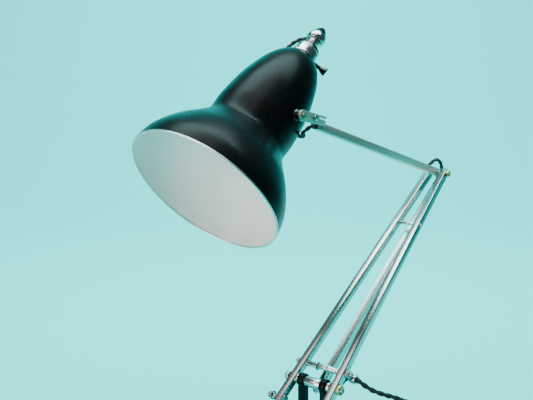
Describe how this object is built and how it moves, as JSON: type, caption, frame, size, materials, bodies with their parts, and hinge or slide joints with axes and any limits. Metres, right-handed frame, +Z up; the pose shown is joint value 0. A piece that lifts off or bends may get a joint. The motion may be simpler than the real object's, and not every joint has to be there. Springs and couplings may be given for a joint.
{
  "type": "desk lamp",
  "caption": "Spring-balanced architect desk lamp: stepped square base, fork, paired square-tube lower arms with a centre link, upper arm and a bell shade.",
  "frame": {"origin": "centre of the base's underside, on the surface that the lamp stands on", "axes": "+X forward, the way the shade points; +Z up; +Y to the lamp's right-hand side as the picture shows it, towards the camera"},
  "size_m": [0.3798, 0.2056, 0.5134],
  "materials": {
    "black_paint": "gloss black stove enamel",
    "nickel": "bright nickel plate",
    "steel": "plain turned steel",
    "spring_steel": "oiled spring steel wire",
    "brass": "polished brass",
    "cast_iron": "bare casting",
    "felt": "dense green felt",
    "bakelite": "moulded black bakelite",
    "pearl_glass": "pearl glass with a metal cap",
    "braided_cloth": "twisted, cloth-braided flex"
  },
  "bodies": {
    "base": {"base_cover": "black_paint", "base_weight": "cast_iron", "base_felt": "felt", "swivel_spindle": "steel", "cord": "braided_cloth", "cord_coil": "braided_cloth", "cord_tail": "braided_cloth", "plug": "bakelite"},
    "fork": {"fork": "black_paint", "spring_stud_left": "steel", "spring_stud_right": "steel", "swivel_nut": "steel", "pivot_bolt": "steel", "pivot_nut": "brass", "pivot_spacer_left": "nickel", "pivot_spacer_right": "nickel", "cord_lead": "braided_cloth"},
    "lower_arms": {"lower_arm_left": "nickel", "lower_arm_right": "nickel", "crossbar_rod": "steel", "crossbar_sleeve_left": "nickel", "crossbar_sleeve_middle": "nickel", "crossbar_sleeve_right": "nickel", "crossbar_nut": "nickel", "cord_clip": "nickel", "brace_rod": "nickel", "spring_bolt_left": "steel", "spring_bolt_right": "steel", "elbow_bolt": "brass", "elbow_nut": "brass", "elbow_bush": "nickel", "tail_flex": "braided_cloth"},
    "upper_arm": {"upper_arm_tube": "nickel", "elbow_lug": "nickel", "knuckle_bracket": "nickel", "tilt_screw": "brass", "clamp_screw": "nickel", "elbow_flex": "braided_cloth", "head_flex": "braided_cloth"},
    "link": {"link_top_pin": "steel", "link_tube": "nickel", "link_ferrule": "brass", "link_foot_pin": "steel", "link_flex": "braided_cloth"},
    "crank": {"crank_lever": "nickel"},
    "spring_left": {"spring_left": "spring_steel"},
    "spring_left_top": {"spring_hook_left": "spring_steel"},
    "spring_right": {"spring_right": "spring_steel"},
    "spring_right_top": {"spring_hook_right": "spring_steel"},
    "head": {"shade": "black_paint", "shade_nut": "nickel", "shade_bush": "bakelite", "lampholder_body": "nickel", "lampholder_ring": "bakelite", "cord_cap": "nickel", "bulb": "pearl_glass"},
    "switch": {"switch_bar": "bakelite"}
  },
  "joints": [
    {"name": "base_swivel", "type": "hinge", "parent": "base", "child": "fork", "pos_m": [0, 0, 0.035], "axis": [0, 0, 1], "range_deg": [-60, 60], "deforming": ["cord", "cord_lead"]},
    {"name": "lower_arm_tilt", "type": "hinge", "parent": "fork", "child": "lower_arms", "pos_m": [0, 0, 0.165], "axis": [0, 1, 0], "range_deg": [-15, 40], "deforming": ["tail_flex", "cord_lead", "spring_left", "spring_hook_left", "spring_right", "spring_hook_right"]},
    {"name": "upper_arm_tilt", "type": "hinge", "parent": "lower_arms", "child": "upper_arm", "pos_m": [-0.20817, 0, 0.35375], "axis": [0, 1, 0], "range_deg": [-35, 25], "deforming": ["elbow_flex", "link_flex", "tail_flex"]},
    {"name": "link_turn", "type": "hinge", "parent": "upper_arm", "child": "link", "pos_m": [-0.21623, 0, 0.34486], "axis": [0, 1, 0], "range_deg": [-25, 35]},
    {"name": "crank_turn", "type": "hinge", "parent": "lower_arms", "child": "crank", "pos_m": [0, 0, 0.165], "axis": [0, 1, 0], "range_deg": [-35, 25]},
    {"name": "spring_left_turn", "type": "hinge", "parent": "fork", "child": "spring_left", "pos_m": [0, -0.038, 0.05], "axis": [0, 1, 0], "range_deg": [-8.01, 3.01]},
    {"name": "spring_left_stretch", "type": "slide", "parent": "spring_left", "child": "spring_left_top", "axis": [0.1853, 0, 0.9827], "range_m": [-0.01081, 0.00406]},
    {"name": "spring_right_turn", "type": "hinge", "parent": "fork", "child": "spring_right", "pos_m": [0, 0.038, 0.05], "axis": [0, 1, 0], "range_deg": [-8.01, 3.01]},
    {"name": "spring_right_stretch", "type": "slide", "parent": "spring_right", "child": "spring_right_top", "axis": [0.1853, 0, 0.9827], "range_m": [-0.01081, 0.00406]},
    {"name": "shade_tilt", "type": "hinge", "parent": "upper_arm", "child": "head", "pos_m": [0.02554, 0, 0.43466], "axis": [0, 1, 0], "range_deg": [-35, 40], "deforming": ["head_flex"]},
    {"name": "switch_push", "type": "slide", "parent": "head", "child": "switch", "axis": [-0.5144, 0.6018, -0.6109], "range_m": [-0.005, 0]}
  ],
  "couplings": [
    {"joint": "link_turn", "follows": "upper_arm_tilt", "ratio": -1},
    {"joint": "crank_turn", "follows": "upper_arm_tilt", "ratio": 1},
    {"joint": "spring_left_turn", "follows": "lower_arm_tilt", "ratio": -0.2},
    {"joint": "spring_left_stretch", "follows": "lower_arm_tilt", "m_per_rad": -0.01547},
    {"joint": "spring_right_turn", "follows": "lower_arm_tilt", "ratio": -0.2},
    {"joint": "spring_right_stretch", "follows": "lower_arm_tilt", "m_per_rad": -0.01547}
  ]
}
